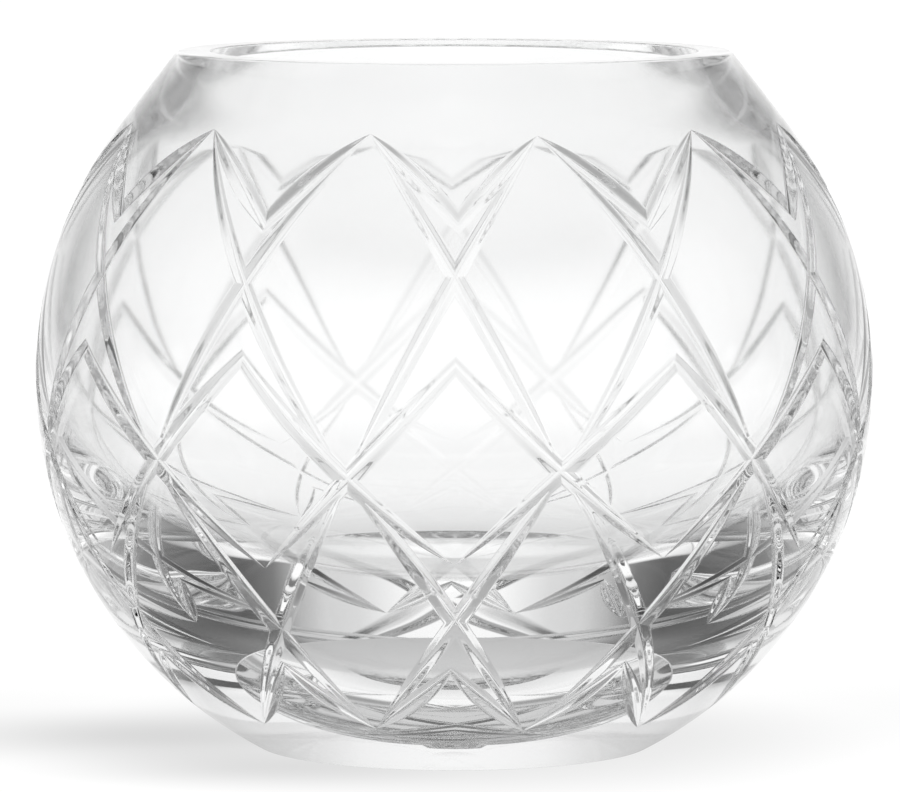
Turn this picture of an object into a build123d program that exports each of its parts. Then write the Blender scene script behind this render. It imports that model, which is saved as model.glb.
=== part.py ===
from build123d import *
import math
import os

# Rose bowl vase: one piece of thick clear glass, a sphere cut flat at the foot
# and at the mouth, with mitre cuts all round the outside.
# Frame: +Z up, origin at the centre of the foot, on the surface it stands on.
# A point at azimuth a lies at (r sin a, -r cos a), so azimuth 0 faces -Y.

# ---- driving dimensions, millimetres ----
BODY_RADIUS = 89.0        # the belly, 178 across
HEIGHT = 148.0            # foot to rim
CENTRE_HEIGHT = 78.5      # height of the sphere's centre
RIM_RADIUS = 58.8         # outer edge of the flat rim
MOUTH_RADIUS = 51.4       # inner edge of the flat rim
INNER_RADIUS = 84.5       # the hollow's widest ring
INNER_WIDEST = 81.3       # and its height
NECK_RADIUS = 66.1        # a point of the hollow below its neck
NECK_HEIGHT = 132.0
NECK_SHARE = 0.085        # of the curve below that point, taken over by the neck
NECK_RING = 0.8           # straight ring between the neck and the curve below it
WIDEST_RING = 0.5         # straight ring above and below the widest place
FLOOR_HEIGHT = 21.7       # lowest point of the hollow
FLOOR_FLAT = 5.0          # radius of the level spot in its middle
SQUARENESS = 2.15         # of the hollow's lower half; 2 would be an ellipse
RIM_BEVEL = 0.45          # polished edges of the rim
FOOT_ROUND = 0.8          # polished edge of the foot

REPEATS = 12              # the pattern repeats every 30 degrees
HALF_STEP = 15.0          # and is a mirror image of itself every 15 degrees
MITRE_HALF_ANGLE = 64.0   # half the angle of every V cut
TIP_DEPTH = 0.1           # depth left at the pointed end of a cut
REACH = 6.0               # height of the V cutter above its tip

# heights of the pattern's points, from the top row down
Z_APEX = 134.2            # upper points, azimuth 15
Z_UPPER_VALLEY = 116.6    # foot of the upper zigzag, azimuth 0
Z_UPPER_CROSS = 105.0     # diagonals cross, azimuth 0
Z_PEAK = 88.9             # peak of the middle cuts, azimuth 0
Z_STAR = 66.5             # all cuts meet, azimuth 15
Z_MIDDLE_VALLEY = 46.3    # foot of the middle cuts, azimuth 30
Z_LOWER_CROSS = 33.5      # diagonals cross again, azimuth 0
Z_LOWER_PEAK = 24.9       # peak of the lower zigzag, azimuth 0
Z_FOOT_POINT = 9.6        # lower points, azimuth 15

# ---- the plain body's profile ----
CENTRE = Vector(0, 0, CENTRE_HEIGHT)
# the shoulder runs straight from the rim to where it touches the sphere
rim_distance = math.hypot(RIM_RADIUS, HEIGHT - CENTRE_HEIGHT)
shoulder_angle = math.degrees(
    math.atan2(HEIGHT - CENTRE_HEIGHT, RIM_RADIUS) - math.acos(BODY_RADIUS / rim_distance)
)
foot_radius = math.sqrt(BODY_RADIUS**2 - CENTRE_HEIGHT**2)


def on_circle(radius, centre_z, angle):
    a = math.radians(angle)
    return (radius * math.cos(a), centre_z + radius * math.sin(a))


shoulder = on_circle(BODY_RADIUS, CENTRE_HEIGHT, shoulder_angle)


def lower_hollow(i, n):
    """The i-th of n points from the hollow's widest ring down to its floor."""
    last = math.acos((FLOOR_FLAT / INNER_RADIUS) ** (SQUARENESS / 2))
    t = last * i / n
    return (
        INNER_RADIUS * math.cos(t) ** (2 / SQUARENESS),
        INNER_WIDEST - (INNER_WIDEST - FLOOR_HEIGHT) * math.sin(t) ** (2 / SQUARENESS),
    )


def hermite(a, da, b, db, t):
    """The cubic from a to b with these directions at its ends."""
    h00, h10 = 2 * t**3 - 3 * t**2 + 1, t**3 - 2 * t**2 + t
    h01, h11 = -2 * t**3 + 3 * t**2, t**3 - t**2
    return tuple(h00 * a[k] + h10 * da[k] + h01 * b[k] + h11 * db[k] for k in (0, 1))


def below_neck(t):
    """The hollow from the point below its neck, 0, to its widest ring, 1."""
    run, rise = NECK_RADIUS - MOUTH_RADIUS, NECK_HEIGHT - HEIGHT
    pull = math.hypot(INNER_RADIUS - NECK_RADIUS, NECK_HEIGHT - INNER_WIDEST)
    turn = pull / math.hypot(run, rise)
    return hermite(
        (NECK_RADIUS, NECK_HEIGHT), (run * turn, rise * turn),
        (INNER_RADIUS, INNER_WIDEST), (0, -pull), t,
    )


def neck(t):
    """The hollow from the mouth, 0, to where the curve below takes over, 1. It
    leaves the mouth parallel to the shoulder, so the wall there is even."""
    end, beyond = below_neck(NECK_SHARE), below_neck(NECK_SHARE + 0.001)
    out = (beyond[0] - end[0], beyond[1] - end[1])
    down = (shoulder[0] - RIM_RADIUS, shoulder[1] - HEIGHT)
    size = math.dist((MOUTH_RADIUS, HEIGHT), end)
    down = [v / math.hypot(*down) * 1.4 * size for v in down]
    out = [v / math.hypot(*out) * 0.7 * size for v in out]
    return hermite((MOUTH_RADIUS, HEIGHT), down, end, out, t)


def surface_point(azimuth, z):
    """A point on the outside of the plain body."""
    if z > shoulder[1]:
        r = RIM_RADIUS + (HEIGHT - z) * (shoulder[0] - RIM_RADIUS) / (HEIGHT - shoulder[1])
    else:
        r = math.sqrt(BODY_RADIUS**2 - (z - CENTRE_HEIGHT) ** 2)
    a = math.radians(azimuth)
    return Vector(r * math.sin(a), -r * math.cos(a), z)


def halfway(p, q):
    """The point of the sphere halfway between two of its points."""
    v = (p - CENTRE).normalized() + (q - CENTRE).normalized()
    return CENTRE + v.normalized() * BODY_RADIUS


def mitre_path(start, middle, end, depths):
    """The circle that a V cut's bottom runs on: three points of the surface,
    each moved in by its depth. Gives its centre, axis, start direction, radius
    and sweep."""
    normal = (end - start).cross(middle - start).normalized()

    def sunk(point, depth):
        inward = point - CENTRE
        inward = (inward - normal * inward.dot(normal)).normalized()
        return point - inward * depth

    a, m, b = (sunk(p, d) for p, d in zip((start, middle, end), depths))
    along = (b - a).normalized()
    across = normal.cross(along)
    length = (b - a).dot(along)
    mx, my = (m - a).dot(along), (m - a).dot(across)
    rise = (mx * mx + my * my - mx * length) / (2 * my)
    hub = a + along * (length / 2) + across * rise
    radius = (a - hub).length
    first, last = (a - hub).normalized(), (b - hub).normalized()
    sweep = math.degrees(math.acos(max(-1.0, min(1.0, first.dot(last)))))
    if first.cross(last).dot(normal) < 0:
        normal = normal * -1
    outward = 1 if (m - hub).dot(m - CENTRE) > 0 else -1
    return hub, normal, first, radius, sweep, outward


def v_section_plane(path, overrun):
    """The plane of the V at the start of a cut, a little before its end."""
    hub, axis, first, radius, sweep, outward = path
    back = first.rotate(Axis((0, 0, 0), axis), -math.degrees(overrun / radius))
    return Plane(origin=hub, x_dir=back, z_dir=back.cross(axis))


def v_section(path):
    """The V's three corners in that plane: its tip on the path, open outward."""
    radius, outward = path[3], path[5]
    half_width = REACH * math.tan(math.radians(MITRE_HALF_ANGLE))
    return [
        (radius, 0),
        (radius + outward * REACH, half_width),
        (radius + outward * REACH, -half_width),
    ]


def sweep_angle(path, overrun):
    return path[4] + 2 * math.degrees(overrun / path[3])


# ---- the five cuts of one 30 degree repeat ----
# A zigzag's two cuts meet in a clean mitre at its valley or its lower peak, and
# so do the middle cuts at theirs; these cuts are made a little too long and
# split in the upright plane through that point.
MITRE_EXCESS = 4.5
apex = surface_point(HALF_STEP, Z_APEX)
upper_valley = surface_point(0, Z_UPPER_VALLEY)
upper_cross = surface_point(0, Z_UPPER_CROSS)
peak = surface_point(0, Z_PEAK)
star = surface_point(HALF_STEP, Z_STAR)
star_left = surface_point(-HALF_STEP, Z_STAR)
middle_valley = surface_point(2 * HALF_STEP, Z_MIDDLE_VALLEY)
lower_cross = surface_point(0, Z_LOWER_CROSS)
lower_peak = surface_point(0, Z_LOWER_PEAK)
foot_point = surface_point(HALF_STEP, Z_FOOT_POINT)
foot_point_left = surface_point(-HALF_STEP, Z_FOOT_POINT)

upper_diagonal_path = mitre_path(apex, upper_cross, star_left, (TIP_DEPTH, 0.98, 0.23))
with BuildPart() as upper_diagonal_cut:
    with BuildSketch(v_section_plane(upper_diagonal_path, 0.6)):
        with BuildLine():
            Polyline(*v_section(upper_diagonal_path), close=True)
        make_face()
    revolve(
        axis=Axis(upper_diagonal_path[0], upper_diagonal_path[1]),
        revolution_arc=sweep_angle(upper_diagonal_path, 0.6),
    )

lower_diagonal_path = mitre_path(star, lower_cross, foot_point_left, (0.23, 1.05, TIP_DEPTH))
with BuildPart() as lower_diagonal_cut:
    with BuildSketch(v_section_plane(lower_diagonal_path, 0.6)):
        with BuildLine():
            Polyline(*v_section(lower_diagonal_path), close=True)
        make_face()
    revolve(
        axis=Axis(lower_diagonal_path[0], lower_diagonal_path[1]),
        revolution_arc=sweep_angle(lower_diagonal_path, 0.6),
    )

upper_zigzag_path = mitre_path(
    apex, halfway(apex, upper_valley), upper_valley, (TIP_DEPTH, 1.17, 0.86)
)
with BuildPart() as upper_zigzag_cut:
    with BuildSketch(v_section_plane(upper_zigzag_path, 0.6)):
        with BuildLine():
            Polyline(*v_section(upper_zigzag_path), close=True)
        make_face()
    revolve(
        axis=Axis(upper_zigzag_path[0], upper_zigzag_path[1]),
        revolution_arc=sweep_angle(upper_zigzag_path, 0.6)
        + MITRE_EXCESS / upper_zigzag_path[3] * 180 / math.pi,
    )
    split(bisect_by=Plane.YZ, keep=Keep.TOP)

lower_zigzag_path = mitre_path(
    foot_point, halfway(foot_point, lower_peak), lower_peak, (TIP_DEPTH, 1.09, 0.31)
)
with BuildPart() as lower_zigzag_cut:
    with BuildSketch(v_section_plane(lower_zigzag_path, 0.6)):
        with BuildLine():
            Polyline(*v_section(lower_zigzag_path), close=True)
        make_face()
    revolve(
        axis=Axis(lower_zigzag_path[0], lower_zigzag_path[1]),
        revolution_arc=sweep_angle(lower_zigzag_path, 0.6)
        + MITRE_EXCESS / lower_zigzag_path[3] * 180 / math.pi,
    )
    split(bisect_by=Plane.YZ, keep=Keep.TOP)

middle_path = mitre_path(peak, star, middle_valley, (0.74, 1.09, TIP_DEPTH))
with BuildPart() as middle_cut:
    with BuildSketch(v_section_plane(middle_path, 3.5)):
        with BuildLine():
            Polyline(*v_section(middle_path), close=True)
        make_face()
    revolve(
        axis=Axis(middle_path[0], middle_path[1]),
        revolution_arc=sweep_angle(middle_path, 3.5) - 2.9 / middle_path[3] * 180 / math.pi,
    )
    split(bisect_by=Plane.YZ, keep=Keep.TOP)

cuts = []
for cut in (upper_diagonal_cut, lower_diagonal_cut, upper_zigzag_cut, lower_zigzag_cut, middle_cut):
    cuts.append(cut.part)
    cuts.append(mirror(cut.part, about=Plane.YZ, mode=Mode.PRIVATE))

# ---- the bowl ----
# direction and end of the short straight ring below the neck
neck_out = tuple(b - a for a, b in zip(below_neck(NECK_SHARE), below_neck(NECK_SHARE + 0.001)))
neck_end = tuple(v + d / math.hypot(*neck_out) * NECK_RING for v, d in zip(neck(1), neck_out))
with BuildPart() as glass_bowl:
    with BuildSketch(Plane.XZ):
        with BuildLine():
            ThreePointArc(
                (foot_radius, 0), on_circle(BODY_RADIUS, CENTRE_HEIGHT, -10), shoulder
            )
            Line(shoulder, (RIM_RADIUS, HEIGHT))
            Line((RIM_RADIUS, HEIGHT), (MOUTH_RADIUS, HEIGHT))
            Spline(
                *[neck(i / 6) for i in range(7)],
                tangents=[(shoulder[0] - RIM_RADIUS, shoulder[1] - HEIGHT), neck_out],
            )
            Line(neck(1), neck_end)
            Spline(
                neck_end,
                *[below_neck(NECK_SHARE + (1 - NECK_SHARE) * i / 8) for i in range(1, 8)],
                (INNER_RADIUS, INNER_WIDEST + WIDEST_RING),
                tangents=[neck_out, (0, -1)],
            )
            Line(
                (INNER_RADIUS, INNER_WIDEST + WIDEST_RING), (INNER_RADIUS, INNER_WIDEST - WIDEST_RING)
            )
            Spline(
                (INNER_RADIUS, INNER_WIDEST - WIDEST_RING),
                *[lower_hollow(i, 12) for i in range(1, 12)],
                (FLOOR_FLAT, FLOOR_HEIGHT),
                tangents=[(0, -1), (-1, 0)],
            )
            Line((FLOOR_FLAT, FLOOR_HEIGHT), (0, FLOOR_HEIGHT))
            Line((0, FLOOR_HEIGHT), (0, 0))
            Line((0, 0), (foot_radius, 0))
        make_face()
    revolve(axis=Axis.Z)
    rim_edges = glass_bowl.edges().filter_by(GeomType.CIRCLE).group_by(Axis.Z)[-1]
    chamfer(rim_edges, RIM_BEVEL)
    foot_edge = glass_bowl.edges().filter_by(GeomType.CIRCLE).group_by(Axis.Z)[0]
    fillet(foot_edge, FOOT_ROUND)
    for cut in cuts:
        with PolarLocations(0, REPEATS):
            add(cut, mode=Mode.SUBTRACT)

glass_bowl.part.label = "glass_bowl"
os.makedirs("parts", exist_ok=True)
export_step(glass_bowl.part, "parts/glass_bowl.step")
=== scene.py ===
import math

import bpy
import numpy as np
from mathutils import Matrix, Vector


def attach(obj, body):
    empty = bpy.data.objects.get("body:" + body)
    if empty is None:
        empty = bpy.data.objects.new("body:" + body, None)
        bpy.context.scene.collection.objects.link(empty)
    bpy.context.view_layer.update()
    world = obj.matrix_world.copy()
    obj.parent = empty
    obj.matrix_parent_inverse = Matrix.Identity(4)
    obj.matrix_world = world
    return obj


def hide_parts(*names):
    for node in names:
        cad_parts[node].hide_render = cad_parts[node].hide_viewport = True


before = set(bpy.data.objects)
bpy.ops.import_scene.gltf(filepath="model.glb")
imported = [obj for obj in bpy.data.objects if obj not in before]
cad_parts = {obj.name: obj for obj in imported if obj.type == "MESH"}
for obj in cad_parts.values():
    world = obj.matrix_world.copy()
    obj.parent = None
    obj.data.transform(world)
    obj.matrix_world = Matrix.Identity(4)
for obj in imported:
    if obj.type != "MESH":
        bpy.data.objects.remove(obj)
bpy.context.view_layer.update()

MM = 0.001

# ---------------------------------------------------------------- dimensions
# The same as the CAD model's, millimetres here and metres in the meshes.
BODY_RADIUS = 89.0
HEIGHT = 148.0
CENTRE_HEIGHT = 78.5
RIM_RADIUS = 58.8
MOUTH_RADIUS = 51.4
INNER_RADIUS = 84.5           # the hollow's widest ring
INNER_WIDEST = 81.3           # and its height
INNER_SHOULDER = (66.1, 132.0)  # a point of the hollow below its neck
NECK_SHARE = 0.085            # of the curve below that, taken over by the neck
FLOOR_HEIGHT = 21.7           # lowest point of the hollow
SQUARENESS = 2.15             # of the hollow's lower half; 2 would be an ellipse
FLOOR_FLAT = 5.0              # radius of the level spot in its middle
RIM_BEVEL = 0.45
FOOT_ROUND = 0.8
REPEATS = 12
MITRE_HALF_ANGLE = math.radians(64.0)

rim_distance = math.hypot(RIM_RADIUS, HEIGHT - CENTRE_HEIGHT)
SHOULDER = math.atan2(HEIGHT - CENTRE_HEIGHT, RIM_RADIUS) - math.acos(BODY_RADIUS / rim_distance)
shoulder = (BODY_RADIUS * math.cos(SHOULDER), CENTRE_HEIGHT + BODY_RADIUS * math.sin(SHOULDER))

# regions of the body's surface; each cut adds two more, one for either flank
FOOT, FOOT_EDGE, OUTSIDE, BEVEL, RIM, INSIDE, CUT = range(7)


# ---------------------------------------------------------------- the profile
def line(a, b, n):
    return [(a[0] + (b[0] - a[0]) * i / n, a[1] + (b[1] - a[1]) * i / n) for i in range(n + 1)]


def arc(radius, cx, cz, a0, a1, n):
    return [
        (cx + radius * math.cos(a0 + (a1 - a0) * i / n), cz + radius * math.sin(a0 + (a1 - a0) * i / n))
        for i in range(n + 1)
    ]


def hermite(a, da, b, db, t):
    """The cubic from a to b with these directions at its ends."""
    h00, h10 = 2 * t**3 - 3 * t**2 + 1, t**3 - 2 * t**2 + t
    h01, h11 = -2 * t**3 + 3 * t**2, t**3 - t**2
    return tuple(h00 * a[k] + h10 * da[k] + h01 * b[k] + h11 * db[k] for k in (0, 1))


def below_neck(t):
    """The hollow's section from the inner shoulder, 0, down to its widest ring, 1."""
    run = (INNER_SHOULDER[0] - MOUTH_RADIUS, INNER_SHOULDER[1] - HEIGHT)
    pull = math.hypot(INNER_RADIUS - INNER_SHOULDER[0], INNER_SHOULDER[1] - INNER_WIDEST)
    run = (run[0] / math.hypot(*run) * pull, run[1] / math.hypot(*run) * pull)
    return hermite(INNER_SHOULDER, run, (INNER_RADIUS, INNER_WIDEST), (0, -pull), t)


def neck(t):
    """The hollow's section from the mouth, 0, to where the curve below takes over.
    It leaves the mouth parallel to the body's shoulder."""
    end, beyond = below_neck(NECK_SHARE), below_neck(NECK_SHARE + 0.001)
    out = (beyond[0] - end[0], beyond[1] - end[1])
    down = (shoulder[0] - RIM_RADIUS, shoulder[1] - HEIGHT)
    size = math.dist((MOUTH_RADIUS, HEIGHT), end)
    down = [v / math.hypot(*down) for v in down]
    out = [v / math.hypot(*out) for v in out]
    start = (MOUTH_RADIUS + down[0] * RIM_BEVEL, HEIGHT + down[1] * RIM_BEVEL)
    return hermite(start, [v * 1.4 * size for v in down], end, [v * 0.7 * size for v in out], t)


def upper_hollow():
    """The hollow's section from the bevel at the mouth down to its widest ring."""
    upper = [neck(i / 24) for i in range(24)]
    return upper + [below_neck(NECK_SHARE + (1 - NECK_SHARE) * i / 36) for i in range(37)]


def lower_hollow():
    """The hollow's section from its widest ring down to its floor."""
    depth = INNER_WIDEST - FLOOR_HEIGHT
    last = math.acos((FLOOR_FLAT / INNER_RADIUS) ** (SQUARENESS / 2))
    pts = []
    for i in range(73):
        t = last * i / 72
        pts.append((
            INNER_RADIUS * math.cos(t) ** (2 / SQUARENESS),
            INNER_WIDEST - depth * math.sin(t) ** (2 / SQUARENESS),
        ))
    pts[-1] = (FLOOR_FLAT, FLOOR_HEIGHT)
    return pts + line((FLOOR_FLAT, FLOOR_HEIGHT), (0, FLOOR_HEIGHT), 4)[1:]


def profile():
    """Pieces of the section from the foot's centre round to the hollow's floor."""
    edge_x = math.sqrt((BODY_RADIUS - FOOT_ROUND) ** 2 - (CENTRE_HEIGHT - FOOT_ROUND) ** 2)
    low = math.atan2(FOOT_ROUND - CENTRE_HEIGHT, edge_x)
    along = ((shoulder[0] - RIM_RADIUS), (shoulder[1] - HEIGHT))
    size = math.hypot(*along)
    along = (along[0] / size, along[1] / size)
    out_low = (RIM_RADIUS + along[0] * RIM_BEVEL, HEIGHT + along[1] * RIM_BEVEL)
    in_low = (MOUTH_RADIUS + along[0] * RIM_BEVEL, HEIGHT + along[1] * RIM_BEVEL)
    return [
        (FOOT, line((0, 0), (edge_x, 0), 24)),
        (FOOT_EDGE, arc(FOOT_ROUND, edge_x, FOOT_ROUND, -math.pi / 2, low, 6)),
        (OUTSIDE, arc(BODY_RADIUS, 0, CENTRE_HEIGHT, low, SHOULDER, 96) + line(shoulder, out_low, 12)[1:]),
        (BEVEL, line(out_low, (RIM_RADIUS - RIM_BEVEL, HEIGHT), 1)),
        (RIM, line((RIM_RADIUS - RIM_BEVEL, HEIGHT), (MOUTH_RADIUS + RIM_BEVEL, HEIGHT), 6)),
        (BEVEL, line((MOUTH_RADIUS + RIM_BEVEL, HEIGHT), in_low, 1)),
        (INSIDE, upper_hollow() + lower_hollow()[1:]),
    ]


def section_normals(points):
    """Unit normals of a smooth run of section points, pointing out of the glass."""
    p = np.array(points, float)
    t = np.zeros_like(p)
    t[1:-1] = p[2:] - p[:-2]
    t[0], t[-1] = p[1] - p[0], p[-1] - p[-2]
    t /= np.linalg.norm(t, axis=1)[:, None]
    return np.stack([t[:, 1], -t[:, 0]], 1)


SEGMENTS = 360


def body_mesh():
    """The plain bowl as one closed mesh, with each face's region as its material."""
    rings, ring_of = [], []
    for region, pts in profile():
        for k, p in enumerate(pts):
            if rings and math.dist(rings[-1], p) < 1e-9:
                ring_of.append((region, k, len(rings) - 1))
                continue
            rings.append(p)
            ring_of.append((region, k, len(rings) - 1))
    az = np.arange(SEGMENTS) * 2 * math.pi / SEGMENTS
    sin, cos = np.sin(az), np.cos(az)
    verts, start = [], []
    for r, z in rings:
        start.append(len(verts))
        if r < 1e-9:
            verts.append((0.0, 0.0, z * MM))
        else:
            verts += [(r * s * MM, -r * c * MM, z * MM) for s, c in zip(sin, cos)]
    faces, region_of = [], []
    last = None
    for region, k, ring in ring_of:
        if last is not None and last[0] == region and last[1] != ring and k > 0:
            a, b = last[1], ring
            for i in range(SEGMENTS):
                j = (i + 1) % SEGMENTS
                if rings[a][0] < 1e-9:
                    f = (start[a], start[b] + j, start[b] + i)
                elif rings[b][0] < 1e-9:
                    f = (start[a] + i, start[a] + j, start[b])
                else:
                    f = (start[a] + i, start[a] + j, start[b] + j, start[b] + i)
                faces.append(f)
                region_of.append(region)
        last = (region, ring)
    return verts, faces, region_of


# ---------------------------------------------------------------- the pattern
# Heights of the pattern's points. Each has its even place; a few of those that
# face the front stand a little off it, as in any pattern cut by hand.
LEVEL = {
    "apex": 134.1, "upper_valley": 116.6, "upper_cross": 105.0, "peak": 89.0, "star": 66.6,
    "middle_valley": 46.4, "lower_cross": 33.5, "lower_peak": 25.0, "foot_point": 9.6,
}
OFFSET = {}
SEEN = {
    "apex": ((-45, -45.2, 134.2), (-15, -14.2, 134.3), (15, 14.0, 133.9), (45, 44.4, 134.1), (75, 75.4, 133.8)),
    "upper_valley": ((-60, -59.6, 116.3), (-30, -28.6, 116.3), (0, 0.6, 117.0), (30, 29.5, 116.5), (60, 60.3, 116.7)),
    "upper_cross": ((-60, -59.0, 104.3), (-30, -30.1, 104.4), (0, 0.1, 106.6), (30, 29.7, 105.3), (60, 60.2, 104.2)),
    "peak": ((-30, -29.2, 89.5), (0, 0.2, 89.0), (30, 30.7, 88.6)),
    "star": ((-45, -43.9, 67.2), (-15, -14.3, 65.5), (15, 14.3, 67.1), (45, 44.2, 67.3)),
    "middle_valley": ((-60, -60.3, 44.8), (-30, -27.6, 46.2), (0, 0.1, 48.0), (30, 30.6, 48.2), (60, 60.9, 45.1)),
    "lower_cross": ((-30, -27.9, 32.4), (0, 0.2, 35.5), (30, 29.8, 33.3)),
    "lower_peak": ((-30, -29.6, 25.1), (0, -0.5, 25.1), (30, 29.4, 25.2)),
    "foot_point": ((-45, -44.5, 9.6), (-15, -16.1, 10.7), (15, 14.3, 10.3), (45, 43.6, 8.8)),
}
for name, places in SEEN.items():
    for even, azimuth, z in places:
        r = math.sqrt(BODY_RADIUS**2 - (z - CENTRE_HEIGHT) ** 2)
        OFFSET[name, even % 360] = (math.radians(azimuth - even) * r, z - LEVEL[name])
rng = np.random.default_rng(7)


def node(name, azimuth):
    """A point of the pattern on the outside of the body, as a unit vector from
    the sphere's centre."""
    key = (name, round(azimuth) % 360)
    if key not in OFFSET:
        OFFSET[key] = tuple(rng.normal(0, 0.4, 2))
    da, dz = OFFSET[key]
    z = LEVEL[name] + dz
    r = math.sqrt(BODY_RADIUS**2 - (z - CENTRE_HEIGHT) ** 2)
    a = math.radians(azimuth + da * 180 / math.pi / r)
    return np.array([r * math.sin(a), -r * math.cos(a), z - CENTRE_HEIGHT]) / BODY_RADIUS


def path_through(p0, pm, p1, n, before=0.0, after=0.0):
    """Points of the sphere along the plane through three of its points, as unit
    vectors, with the share of the way that each stands at."""
    normal = np.cross(p1 - p0, pm - p0)
    normal /= np.linalg.norm(normal)
    centre = normal * normal.dot(p0)
    u = p0 - centre
    radius = np.linalg.norm(u)
    u /= radius
    v = np.cross(normal, u)
    if v.dot(pm - centre) < 0:
        v = -v
    angle = lambda p: math.atan2((p - centre).dot(v), (p - centre).dot(u))
    end, middle = angle(p1), angle(pm)
    s = np.linspace(-before, 1 + after, n)
    pts = centre + radius * (np.cos(s * end)[:, None] * u + np.sin(s * end)[:, None] * v)
    return s, pts / np.linalg.norm(pts, axis=1)[:, None], middle / end


def through(s, sm, d0, dm, d1):
    """The parabola that is d0 at 0, dm at sm and d1 at 1."""
    return (
        d0 * (s - sm) * (s - 1) / (sm)
        + dm * s * (s - 1) / (sm * (sm - 1))
        + d1 * s * (s - sm) / (1 - sm)
    )


REACH = 2.8


def up_to(rows, plane, over):
    """How far along its rows a strand comes to a plane, and a hair past it."""
    side = rows.dot(plane) + over
    k = int(np.where(side[:-1] * side[1:] <= 0)[0][0])
    return k + side[k] / (side[k] - side[k + 1])


# The cuts are polished: their edges and their bottom are soft. A flank stands
# at its full slope in the middle and eases off towards both, by the share of
# the cut's depth, 0 at the edge and 1 at the bottom.
SHARES = (0.85, 0.62, 0.38, 0.14)
EASE = ((0.0, 0.10), (0.14, 0.85), (0.38, 1.15), (0.62, 1.15), (0.85, 0.70), (1.0, 0.0))
STRANDS = []                  # path, outward and sideways directions, and depth of every cut


def cutter(p0, pm, p1, depths, start_mitre=None, end_mitre=None):
    """A V cut as a closed wedge: its tip runs below the surface by the depth,
    and its two flanks open outward at the mitre angle. A mitred end lies in
    the plane where the cut meets its mirror image."""
    before = 0.02 if start_mitre is None else 0.2
    after = 0.02 if end_mitre is None else 0.4
    n = max(24, int(np.linalg.norm(p1 - p0) * BODY_RADIUS / 0.9))
    s, pts, sm = path_through(p0, pm, p1, n, before, after)
    depth = through(s, sm, *depths)
    tangent = np.gradient(pts, axis=0)
    tangent /= np.linalg.norm(tangent, axis=1)[:, None]
    side = np.cross(tangent, pts)
    side /= np.linalg.norm(side, axis=1)[:, None]
    base = pts * BODY_RADIUS + np.array([0, 0, CENTRE_HEIGHT])
    tip = base - pts * depth[:, None]
    slope = math.tan(MITRE_HALF_ANGLE)
    rise = [np.maximum(depth, 0.05) * (1 - share) for share in SHARES] + [np.full(n, REACH)]
    lines = [tip]
    for hand in (1, -1):
        lines += [tip + (pts + side * hand * slope) * h[:, None] for h in rise]
    strands = []
    for rows in lines:
        first = 0.0 if start_mitre is None else up_to(rows, *start_mitre)
        last = n - 1.0 if end_mitre is None else up_to(rows, *end_mitre)
        at = np.linspace(first, last, n)
        strands.append(np.stack([np.interp(at, np.arange(n), rows[:, k]) for k in range(3)], 1))
    verts = np.concatenate(strands) * MM
    number = len(STRANDS)
    STRANDS.append((base, pts, side, depth))
    steps = len(rise)
    # the two flanks' strands in order, from the bottom of the cut outward
    left = [0] + list(range(1, steps + 1))
    right = [0] + list(range(steps + 1, 2 * steps + 1))
    faces, region_of = [], []
    for i in range(n - 1):
        for flank, hand in ((left, 0), (right, 1)):
            for a, b in zip(flank, flank[1:]):
                f = (a * n + i, b * n + i, b * n + i + 1, a * n + i + 1)
                faces.append(f if hand == 0 else f[::-1])
                region_of.append(CUT + 2 * number + hand)
        l, r = left[-1] * n, right[-1] * n
        faces.append((l + i, r + i, r + i + 1, l + i + 1)); region_of.append(OUTSIDE)
    ring = left[::-1] + right[1:]
    faces.append(tuple(k * n for k in ring)); region_of.append(OUTSIDE)
    faces.append(tuple(k * n + n - 1 for k in ring[::-1])); region_of.append(OUTSIDE)
    return verts, facing_out(verts, faces), region_of


def facing_out(verts, faces):
    """The faces of a closed mesh, turned so that they face out of it."""
    v = np.asarray(verts, float)
    v = v - v.mean(0)
    volume = sum(
        float(np.dot(v[f[0]], np.cross(v[f[k]], v[f[k + 1]]))) for f in faces for k in range(1, len(f) - 1)
    )
    return [f[::-1] for f in faces] if volume < 0 else faces


def halfway(p, q):
    v = p + q
    return v / np.linalg.norm(v)


def upright(p, hand):
    """The normal of the upright plane through the axis and a point."""
    v = np.array([-p[1], p[0], 0.0]) * hand
    return v / np.linalg.norm(v)


def pattern():
    """Ten sets of twelve cuts; no two cuts of one set meet."""
    sets = {}
    for k in range(REPEATS):
        a = 30.0 * k
        for hand in (1, -1):
            at = lambda name, turn: node(name, a + hand * turn)
            sets.setdefault(("upper_diagonal", hand), []).append(
                cutter(at("apex", 15), at("upper_cross", 0), at("star", -15), (0.0, 0.98, 0.23))
            )
            sets.setdefault(("lower_diagonal", hand), []).append(
                cutter(at("star", 15), at("lower_cross", 0), at("foot_point", -15), (0.23, 1.05, 0.0))
            )
            p, q = at("apex", 15), at("upper_valley", 0)
            sets.setdefault(("upper_zigzag", hand), []).append(
                cutter(p, halfway(p, q), q, (0.0, 1.17, 0.86), end_mitre=(upright(q, hand), 0.03))
            )
            p, q = at("foot_point", 15), at("lower_peak", 0)
            sets.setdefault(("lower_zigzag", hand), []).append(
                cutter(p, halfway(p, q), q, (0.0, 1.09, 0.31), end_mitre=(upright(q, hand), 0.03))
            )
            sets.setdefault(("middle", hand), []).append(
                cutter(
                    at("peak", 0), at("star", 15), at("middle_valley", 30), (0.74, 1.09, 0.0),
                    start_mitre=(upright(at("peak", 0), hand), 0.03),
                )
            )
    return sets


def make_object(name, verts, faces, region_of, materials):
    me = bpy.data.meshes.new(name)
    me.from_pydata([tuple(v) for v in verts], [], [tuple(f) for f in faces])
    for m in materials:
        me.materials.append(m)
    me.polygons.foreach_set("material_index", np.array(region_of, np.int32))
    me.update()
    ob = bpy.data.objects.new(name, me)
    bpy.context.scene.collection.objects.link(ob)
    return ob


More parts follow.
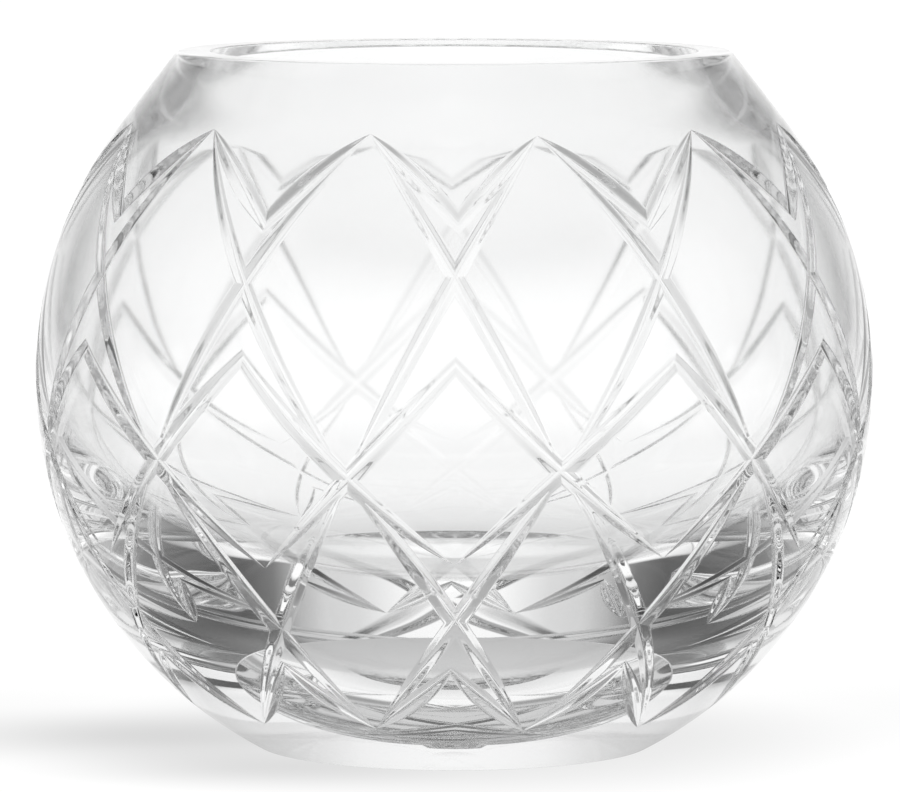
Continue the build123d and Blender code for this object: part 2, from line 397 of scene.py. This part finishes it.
def cut_bowl(material):
    """The bowl with every cut taken out of it, its faces marked by region."""
    sets = pattern()
    materials = [material] * (CUT + 2 * len(STRANDS))
    ob = make_object("glass_bowl_cut", *body_mesh(), materials)
    for cutters in sets.values():
        verts, faces, region_of, at = [], [], [], 0
        for v, f, r in cutters:
            verts += list(v)
            faces += [tuple(i + at for i in x) for x in f]
            region_of += r
            at += len(v)
        tool = make_object("cutter", verts, faces, region_of, materials)
        mod = ob.modifiers.new("cut", "BOOLEAN")
        mod.operation = "DIFFERENCE"
        mod.object = tool
        mod.solver = "MANIFOLD"
        bpy.context.view_layer.update()
        dg = bpy.context.evaluated_depsgraph_get()
        me = bpy.data.meshes.new_from_object(ob.evaluated_get(dg), depsgraph=dg)
        ob.modifiers.clear()
        old, ob.data = ob.data, me
        bpy.data.meshes.remove(old)
        mesh = tool.data
        bpy.data.objects.remove(tool)
        bpy.data.meshes.remove(mesh)
    return ob


def set_normals(ob):
    """Exact normals: the body's own where it is uncut, and on the cuts' flanks
    the cut's own slope, eased off towards its edge and its bottom."""
    me = ob.data
    n_poly, n_loop, n_vert = len(me.polygons), len(me.loops), len(me.vertices)
    co = np.empty(n_vert * 3, np.float32); me.vertices.foreach_get("co", co)
    co = co.reshape(-1, 3).astype(float) / MM
    start = np.empty(n_poly, np.int32); me.polygons.foreach_get("loop_start", start)
    total = np.empty(n_poly, np.int32); me.polygons.foreach_get("loop_total", total)
    mat = np.empty(n_poly, np.int32); me.polygons.foreach_get("material_index", mat)
    area = np.empty(n_poly, np.float32); me.polygons.foreach_get("area", area)
    fn = np.empty(n_poly * 3, np.float32); me.polygons.foreach_get("normal", fn)
    fn = fn.reshape(-1, 3).astype(float)
    vi = np.empty(n_loop, np.int32); me.loops.foreach_get("vertex_index", vi)
    face_of = np.repeat(np.arange(n_poly), total)
    normal = fn[face_of].copy()
    region = mat[face_of]
    p = co[vi]
    r = np.hypot(p[:, 0], p[:, 1])
    out = np.stack([p[:, 0] / np.maximum(r, 1e-9), p[:, 1] / np.maximum(r, 1e-9)], 1)

    def from_section(mask, nr, nz):
        normal[mask] = np.stack([out[mask, 0] * nr, out[mask, 1] * nr, nz], 1)

    # outside: sphere, then the straight shoulder
    m = region == OUTSIDE
    z = p[m, 2] - CENTRE_HEIGHT
    ang = np.minimum(np.arctan2(z, r[m]), SHOULDER)
    from_section(m, np.cos(ang), np.sin(ang))
    m = region == FOOT_EDGE
    edge_x = math.sqrt((BODY_RADIUS - FOOT_ROUND) ** 2 - (CENTRE_HEIGHT - FOOT_ROUND) ** 2)
    ang = np.arctan2(p[m, 2] - FOOT_ROUND, r[m] - edge_x)
    from_section(m, np.cos(ang), np.sin(ang))
    # the rim's polished edges turn from the flat ring to the walls on either side
    m = region == BEVEL
    turn = np.clip((HEIGHT - p[m, 2]) / 0.3, 0, 1) * 90
    outer = r[m] > (RIM_RADIUS + MOUTH_RADIUS) / 2
    low = np.where(outer, SHOULDER, -SHOULDER)
    nr = np.where(outer, np.cos(low), -np.cos(low))
    nz = np.sin(low)
    part = turn / 90
    from_section(m, nr * part, nz * part + (1 - part))
    # inside: by height along the section
    pts = profile()[-1][1]
    sn = section_normals(pts)
    pts = np.array(pts)
    m = region == INSIDE
    length = np.concatenate([[0], np.cumsum(np.hypot(*np.diff(pts, axis=0).T))])
    q = np.stack([r[m], p[m, 2]], 1)
    nearest = np.empty(len(q), int)
    for i in range(0, len(q), 20000):
        d = (q[i:i + 20000, None, 0] - pts[None, :, 0]) ** 2 + (q[i:i + 20000, None, 1] - pts[None, :, 1]) ** 2
        nearest[i:i + 20000] = d.argmin(1)
    nr, nz = sn[nearest, 0], sn[nearest, 1]
    from_section(m, nr, nz)
    # flanks of the cuts
    ease_at, ease = zip(*EASE)
    for number, (base, pts, side, depth) in enumerate(STRANDS):
        for hand in (0, 1):
            loops = np.where(region == CUT + 2 * number + hand)[0]
            if len(loops) == 0:
                continue
            q = p[loops]
            step = np.gradient(base, axis=0)
            near = ((q[:, None, :] - base[None]) ** 2).sum(2).argmin(1)
            along = ((q - base[near]) * step[near]).sum(1) / (step[near] ** 2).sum(1)
            at = np.clip(near + along, 0, len(base) - 1)
            index = np.arange(len(base))
            mix = lambda rows: np.stack([np.interp(at, index, rows[:, k]) for k in range(3)], 1)
            o, w = mix(pts), mix(side)
            below = BODY_RADIUS - np.linalg.norm(q - np.array([0, 0, CENTRE_HEIGHT]), axis=1)
            deep = np.maximum(np.interp(at, index, depth), 0.05)
            share = np.clip(below / deep, 0, 1)
            lean = np.interp(share, ease_at, ease) / math.tan(MITRE_HALF_ANGLE)
            normal[loops] = o - w * (lean if hand == 0 else -lean)[:, None]
    normal /= np.maximum(np.linalg.norm(normal, axis=1)[:, None], 1e-12)
    me.polygons.foreach_set("use_smooth", np.ones(n_poly, bool))
    me.normals_split_custom_set([tuple(x) for x in normal])
    me.polygons.foreach_set("material_index", np.zeros(n_poly, np.int32))
    me.update()


# ---------------------------------------------------------------- materials
def principled(name, **values):
    m = bpy.data.materials.new(name)
    m.use_nodes = True
    b = m.node_tree.nodes["Principled BSDF"]
    for key, value in values.items():
        b.inputs[key.replace("_", " ")].default_value = value
    return m


def math_node(nodes, links, op, a, b=None, clamp=False):
    n = nodes.new("ShaderNodeMath")
    n.operation = op
    n.use_clamp = clamp
    for k, x in enumerate((a, b)):
        if x is None:
            continue
        if isinstance(x, (int, float)):
            n.inputs[k].default_value = x
        else:
            links.new(x, n.inputs[k])
    return n.outputs[0]


INSIDE_ROUGH = (0.04, 0.10)    # least and most, in the hollow's upper half
LOW_ROUGH = 0.22               # share of it in the lower half
WAVE_HEIGHT = 0.00010         # of its slow unevenness


def crystal(name):
    """Clear crystal: bright cut outside, and an inside that is left as it was
    blown, a little softer and never quite even."""
    m = principled(name, IOR=1.53, Transmission_Weight=1.0)
    nodes, links = m.node_tree.nodes, m.node_tree.links
    surface = nodes["Principled BSDF"]
    place = nodes.new("ShaderNodeNewGeometry")
    middle = nodes.new("ShaderNodeVectorMath"); middle.operation = "SUBTRACT"
    middle.inputs[1].default_value = (0, 0, CENTRE_HEIGHT * MM)
    links.new(place.outputs["Position"], middle.inputs[0])
    reach = nodes.new("ShaderNodeVectorMath"); reach.operation = "LENGTH"
    links.new(middle.outputs["Vector"], reach.inputs[0])
    height = nodes.new("ShaderNodeSeparateXYZ")
    links.new(place.outputs["Position"], height.inputs[0])
    # 1 on the hollow's wall and floor, 0 on the outside, the rim and the foot
    inner = math_node(nodes, links, "LESS_THAN", reach.outputs["Value"], 87.0 * MM)
    above = math_node(nodes, links, "GREATER_THAN", height.outputs["Z"], 10.0 * MM)
    inside = math_node(nodes, links, "MULTIPLY", inner, above)
    # slow unevenness of the blown wall
    wave = nodes.new("ShaderNodeTexNoise")
    wave.inputs["Scale"].default_value = 38.0
    wave.inputs["Detail"].default_value = 1.0
    links.new(place.outputs["Position"], wave.inputs["Vector"])
    rough = nodes.new("ShaderNodeMapRange")
    rough.inputs["To Min"].default_value = INSIDE_ROUGH[0]
    rough.inputs["To Max"].default_value = INSIDE_ROUGH[1]
    links.new(wave.outputs["Fac"], rough.inputs["Value"])
    share = nodes.new("ShaderNodeMapRange")
    share.inputs["From Min"].default_value = 50.0 * MM
    share.inputs["From Max"].default_value = 88.0 * MM
    share.inputs["To Min"].default_value = LOW_ROUGH
    links.new(height.outputs["Z"], share.inputs["Value"])
    soft = math_node(nodes, links, "MULTIPLY", share.outputs["Result"], rough.outputs["Result"])
    links.new(math_node(nodes, links, "MULTIPLY", inside, soft), surface.inputs["Roughness"])
    bump = nodes.new("ShaderNodeBump")
    bump.inputs["Distance"].default_value = WAVE_HEIGHT
    links.new(inside, bump.inputs["Strength"])
    links.new(wave.outputs["Fac"], bump.inputs["Height"])
    links.new(bump.outputs["Normal"], surface.inputs["Normal"])
    # the faintest change of tone through the glass
    tone = nodes.new("ShaderNodeValToRGB")
    tone.color_ramp.elements[0].color = (0.980, 0.984, 0.984, 1)
    tone.color_ramp.elements[1].color = (0.996, 0.997, 0.997, 1)
    links.new(wave.outputs["Fac"], tone.inputs["Fac"])
    links.new(tone.outputs["Color"], surface.inputs["Base Color"])
    return m


glass = crystal("clear_crystal")
bowl = cut_bowl(glass)
print("cut bowl", len(bowl.data.vertices), "vertices", len(bowl.data.polygons), "faces")
set_normals(bowl)
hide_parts("glass_bowl")
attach(bowl, "root")

# ---------------------------------------------------------------- the stage
def smooth(value, low, high):
    """0 below low, 1 above high, or the other way round where low is the higher."""
    n = nodes.new("ShaderNodeMapRange")
    n.interpolation_type = "SMOOTHSTEP"
    n.inputs["From Min"].default_value = min(low, high)
    n.inputs["From Max"].default_value = max(low, high)
    n.inputs["To Min"].default_value = 0.0 if low < high else 1.0
    n.inputs["To Max"].default_value = 1.0 if low < high else 0.0
    links.new(value, n.inputs["Value"])
    return n.outputs["Result"]


def away(centre):
    """Degrees of azimuth from a direction."""
    d = math_node(nodes, links, "SUBTRACT", azimuth, centre)
    d = math_node(nodes, links, "ADD", d, 540.0)
    d = math_node(nodes, links, "MODULO", d, 360.0)
    return math_node(nodes, links, "ABSOLUTE", math_node(nodes, links, "SUBTRACT", d, 180.0))


def times(*values):
    total = values[0]
    for v in values[1:]:
        total = math_node(nodes, links, "MULTIPLY", total, v)
    return total


def plus(*values):
    total = values[0]
    for v in values[1:]:
        total = math_node(nodes, links, "ADD", total, v)
    return total


def ramp(value, stops):
    """A smooth run of brightness: value against strength, straight between stops."""
    n = nodes.new("ShaderNodeValToRGB")
    n.color_ramp.interpolation = "LINEAR"
    first, last = stops[0][0], stops[-1][0]
    elements = n.color_ramp.elements
    for k, (x, y) in enumerate(stops):
        if k == 0:
            e = elements[0]
            e.position = 0.0
        elif k == len(stops) - 1:
            e = elements[len(elements) - 1]
            e.position = 1.0
        else:
            e = elements.new((x - first) / (last - first))
        e.color = (y / 1.4, y / 1.4, y / 1.4, 1)
    scaled = nodes.new("ShaderNodeMapRange")
    scaled.inputs["From Min"].default_value = first
    scaled.inputs["From Max"].default_value = last
    links.new(value, scaled.inputs["Value"])
    links.new(scaled.outputs["Result"], n.inputs["Fac"])
    return math_node(nodes, links, "MULTIPLY", n.outputs["Color"], 1.4)


def spot(x, y, wide, deep, turn=0.0):
    """A soft round or oval patch of the floor, 1 at its middle and 0 outside."""
    place = nodes.new("ShaderNodeMapping")
    place.vector_type = "TEXTURE"
    place.inputs["Location"].default_value = (x, y, 0)
    place.inputs["Rotation"].default_value = (0, 0, math.radians(turn))
    place.inputs["Scale"].default_value = (wide, deep, 1)
    links.new(geo.outputs["Position"], place.inputs["Vector"])
    size = nodes.new("ShaderNodeVectorMath"); size.operation = "LENGTH"
    links.new(place.outputs["Vector"], size.inputs[0])
    return smooth(size.outputs["Value"], 1.0, 0.0)


# painted light and shade of the floor as the glass shows it, by distance in metres: a dark ring round
# the bowl's foot where its shadow falls, lighter further off; behind the bowl, to its sides and in front of it
PAINTED_SHADE_BEHIND = ((0.0, 1.07), (0.020, 1.07), (0.040, 0.82), (0.060, 0.90), (0.100, 1.00), (0.200, 0.97), (0.350, 1.08))
PAINTED_SHADE_SIDE = ((0.0, 0.89), (0.020, 0.89), (0.045, 0.64), (0.060, 0.74), (0.100, 0.82), (0.200, 0.80), (0.350, 0.42))
PAINTED_SHADE_FRONT = ((0.0, 0.67), (0.020, 0.67), (0.045, 0.52), (0.056, 0.42), (0.066, 0.06), (0.100, 0.05), (0.150, 0.64), (0.300, 1.32))
PAPER = 1.04
floor_mesh = bpy.data.meshes.new("floor")
N = 96
floor_mesh.from_pydata(
    [(0, 0, 0)] + [(1.6 * math.cos(2 * math.pi * i / N), 1.6 * math.sin(2 * math.pi * i / N), 0) for i in range(N)],
    [], [(0, 1 + i, 1 + (i + 1) % N) for i in range(N)],
)
floor = bpy.data.objects.new("floor", floor_mesh)
floor.location = (0, 0, -0.00005)
bpy.context.scene.collection.objects.link(floor)
fm = bpy.data.materials.new("floor")
fm.use_nodes = True
nodes, links = fm.node_tree.nodes, fm.node_tree.links
nodes.clear()
geo = nodes.new("ShaderNodeNewGeometry")
length = nodes.new("ShaderNodeVectorMath"); length.operation = "LENGTH"
links.new(geo.outputs["Position"], length.inputs[0])
radius = length.outputs["Value"]
place = nodes.new("ShaderNodeSeparateXYZ")
links.new(geo.outputs["Position"], place.inputs[0])
turn = math_node(nodes, links, "ARCTAN2", math_node(nodes, links, "ABSOLUTE", place.outputs["X"]), place.outputs["Y"])
turn = math_node(nodes, links, "MULTIPLY", turn, 180 / math.pi)
is_behind, is_front = smooth(turn, 60, 35), smooth(turn, 75, 110)
is_side = math_node(nodes, links, "SUBTRACT", math_node(nodes, links, "SUBTRACT", 1.0, is_behind), is_front)
# painted shade: rays through the glass see the floor glow by these tables, darker round the foot where the bowl's
# shadow falls
painted_floor_shade = plus(
    times(is_behind, ramp(radius, PAINTED_SHADE_BEHIND)),
    times(is_side, ramp(radius, PAINTED_SHADE_SIDE)),
    times(is_front, ramp(radius, PAINTED_SHADE_FRONT)),
)
seen = nodes.new("ShaderNodeEmission")
links.new(painted_floor_shade, seen.inputs["Strength"])
# the plain sheet itself, with the bowl's soft shadow falling to the left
shade = plus(
    times(smooth(radius, 0.105, 0.035), 0.20),
    times(spot(-0.075, 0.010, 0.062, 0.052), 0.18),
    times(spot(-0.045, -0.040, 0.060, 0.036), 0.14),
    times(spot(-0.140, 0.030, 0.180, 0.110), 0.09),
    times(spot(0.140, 0.050, 0.200, 0.100), 0.07),
)
bright = math_node(nodes, links, "SUBTRACT", PAPER, shade)
sheet = nodes.new("ShaderNodeEmission")
links.new(bright, sheet.inputs["Strength"])
path = nodes.new("ShaderNodeLightPath")
which = nodes.new("ShaderNodeMixShader")
links.new(path.outputs["Is Camera Ray"], which.inputs["Fac"])
links.new(seen.outputs[0], which.inputs[1])
links.new(sheet.outputs[0], which.inputs[2])
clear = nodes.new("ShaderNodeBsdfTransparent")
mix = nodes.new("ShaderNodeMixShader")
links.new(smooth(radius, 0.7, 1.5), mix.inputs["Fac"])
links.new(which.outputs[0], mix.inputs[1])
links.new(clear.outputs[0], mix.inputs[2])
out = nodes.new("ShaderNodeOutputMaterial")
links.new(mix.outputs[0], out.inputs["Surface"])
floor_mesh.materials.append(fm)

# soft studio, brightness by azimuth away from straight behind the bowl: a white
# sweep behind it, dark cards to its sides, a paler room towards the camera
LOW = ((0, 1.05), (10, 1.02), (20, 0.76), (27, 0.70), (33, 0.50), (39, 0.19), (46, 0.10), (56, 0.10), (75, 0.15), (95, 0.45), (140, 0.95))
MIDDLE = ((0, 0.38), (14, 0.45), (24, 0.28), (33, 0.12), (45, 0.24), (60, 0.14), (80, 0.24), (120, 0.78))
HIGH = ((0, 0.69), (25, 0.68), (50, 0.42), (80, 0.10), (120, 0.17))
world = bpy.data.worlds.new("studio")
bpy.context.scene.world = world
world.use_nodes = True
nodes, links = world.node_tree.nodes, world.node_tree.links
nodes.clear()
tex = nodes.new("ShaderNodeTexCoord")
sep = nodes.new("ShaderNodeSeparateXYZ")
links.new(tex.outputs["Generated"], sep.inputs[0])
azimuth = math_node(nodes, links, "ARCTAN2", sep.outputs["X"], sep.outputs["Y"])
azimuth = math_node(nodes, links, "MULTIPLY", azimuth, 180 / math.pi)
elevation = math_node(nodes, links, "ARCSINE", sep.outputs["Z"])
elevation = math_node(nodes, links, "MULTIPLY", elevation, 180 / math.pi)


is_low, is_high = smooth(elevation, 19, 9), smooth(elevation, 24, 40)
is_middle = math_node(nodes, links, "SUBTRACT", math_node(nodes, links, "SUBTRACT", 1.0, is_low), is_high)
strength = plus(
    times(is_low, ramp(away(0), LOW)),
    times(is_middle, ramp(away(0), MIDDLE)),
    times(is_high, ramp(away(0), HIGH)),
    # a strip of white at each side, low down
    times(smooth(away(90), 12, 6), smooth(elevation, 4, 1), 0.65),
    times(smooth(away(-90), 12, 6), smooth(elevation, 4, 1), 0.65),
)
bg = nodes.new("ShaderNodeBackground")
bg.inputs["Color"].default_value = (1, 1, 1, 1)
links.new(strength, bg.inputs["Strength"])
out = nodes.new("ShaderNodeOutputWorld")
links.new(bg.outputs[0], out.inputs["Surface"])

# ---------------------------------------------------------------- the camera
DISTANCE, EYE, PITCH, FOCAL_PX, AXIS_X = 1.53675, 0.22203, 0.0958, 7246.3, 4.145
cam_data = bpy.data.cameras.new("camera")
cam_data.sensor_width = 36.0
cam_data.lens = FOCAL_PX / 900 * 36.0
camera = bpy.data.objects.new("camera", cam_data)
bpy.context.scene.collection.objects.link(camera)
yaw = math.atan(AXIS_X / FOCAL_PX)
look = Vector((-math.sin(yaw) * math.cos(PITCH), math.cos(yaw) * math.cos(PITCH), -math.sin(PITCH)))
camera.location = (0, -DISTANCE, EYE)
camera.rotation_mode = "QUATERNION"
camera.rotation_quaternion = look.to_track_quat("-Z", "Y")
cam_data.clip_start, cam_data.clip_end = 0.05, 50
bpy.context.scene.camera = camera

scene = bpy.context.scene
scene.view_settings.view_transform = "Standard"
scene.view_settings.look = "None"
c = scene.cycles
c.max_bounces = 40
c.transmission_bounces = 40
c.glossy_bounces = 24
c.diffuse_bounces = 3
c.transparent_max_bounces = 16
c.caustics_refractive = True
c.caustics_reflective = True
c.blur_glossy = 0.3
c.sample_clamp_indirect = 10.0
